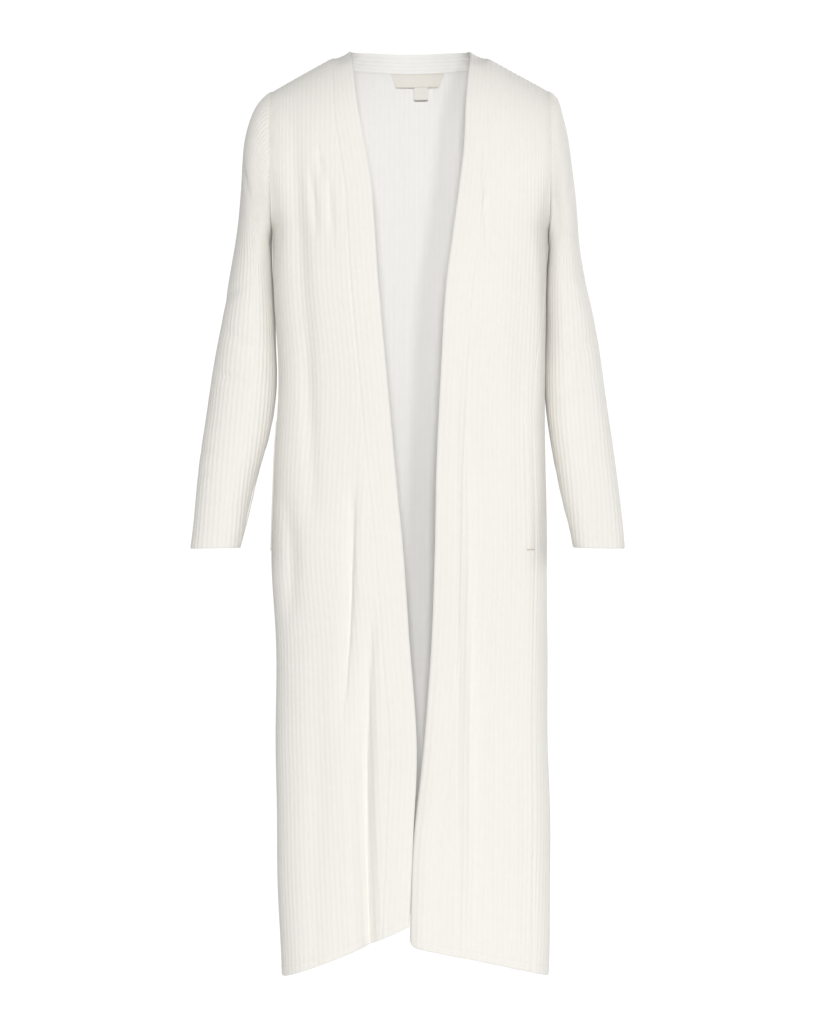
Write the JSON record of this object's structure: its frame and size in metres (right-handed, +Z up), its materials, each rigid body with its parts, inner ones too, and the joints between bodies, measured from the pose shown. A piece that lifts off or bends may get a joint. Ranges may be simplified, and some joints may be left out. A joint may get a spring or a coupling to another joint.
{
  "type": "duster cardigan",
  "caption": "Long open-front duster cardigan in cream rib knit with long sleeves and a front band that runs round the neck, holding the shape of a worn garment.",
  "frame": {"origin": "midway between the two high points of the shoulder line, where neck and shoulders meet and the garment hangs on its wearer", "axes": "+Z up, -Y to the front, +X to the wearer's left"},
  "size_m": [0.5873, 0.2006, 1.2584],
  "materials": {
    "back": "matte rib knit",
    "front_left": "matte rib knit",
    "front_right": "matte rib knit",
    "front_band": "matte rib knit",
    "sleeve_left": "matte rib knit",
    "sleeve_right": "matte rib knit",
    "pocket_welt_left": "matte rib knit",
    "pocket_welt_right": "matte rib knit",
    "main_label": "matte woven tape",
    "size_tab": "matte woven tape"
  },
  "bodies": {
    "root": {"back": "back", "front_left": "front_left", "front_right": "front_right", "front_band": "front_band", "sleeve_left": "sleeve_left", "sleeve_right": "sleeve_right", "pocket_welt_left": "pocket_welt_left", "pocket_welt_right": "pocket_welt_right", "main_label": "main_label", "size_tab": "size_tab"}
  },
  "joints": []
}
